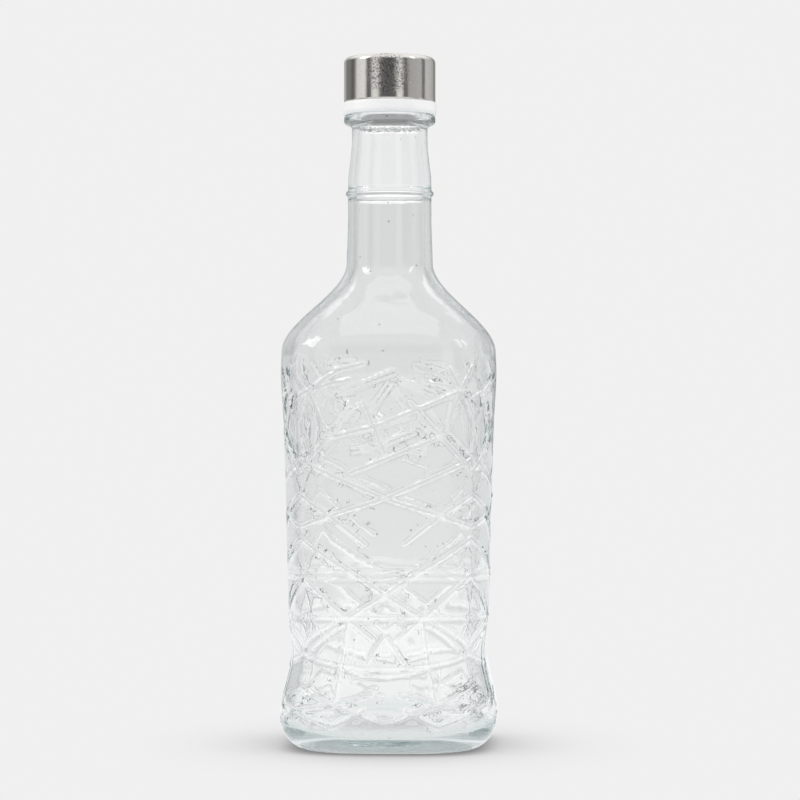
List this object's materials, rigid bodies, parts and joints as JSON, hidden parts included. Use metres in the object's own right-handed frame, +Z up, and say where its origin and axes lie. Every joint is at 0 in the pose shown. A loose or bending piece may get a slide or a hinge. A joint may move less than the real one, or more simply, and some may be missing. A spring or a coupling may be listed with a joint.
{
  "type": "glass oil bottle",
  "caption": "Clear pressed-glass oil bottle: rounded-square body with star-cut relief, round ringed neck and a steel-clad screw cap with a white threaded insert.",
  "frame": {"origin": "middle of the base, on the surface that the bottle stands on", "axes": "+Z up along the neck, towards the cap; -Y out of the front face; +X to the right of the front face. The body has four like faces, square to X and Y"},
  "size_m": [0.09, 0.09, 0.287],
  "materials": {
    "clear_glass": "clear pressed flint glass with a faint blue-green tint, glossy, slightly wavy",
    "steel_cladding": "drawn stainless steel, satin, with fine scuffs",
    "white_insert": "white polypropylene, satin",
    "liner_foam": "soft white foam, matt"
  },
  "bodies": {
    "bottle": {"glass_body": "clear_glass", "glass_neck": "clear_glass"},
    "seal": {"cap_liner": "liner_foam"},
    "cap": {"cap_insert": "white_insert", "cap_shell": "steel_cladding"}
  },
  "joints": [
    {"name": "cap_rise", "type": "slide", "parent": "bottle", "child": "seal", "axis": [0, 0, 1], "range_m": [0, 0.006]},
    {"name": "cap_turn", "type": "hinge", "parent": "seal", "child": "cap", "pos_m": [0, 0, 0.2844], "axis": [0, 0, 1], "range_deg": [0, 540]}
  ],
  "couplings": [
    {"joint": "cap_rise", "follows": "cap_turn", "m_per_rad": 0.00063662}
  ]
}
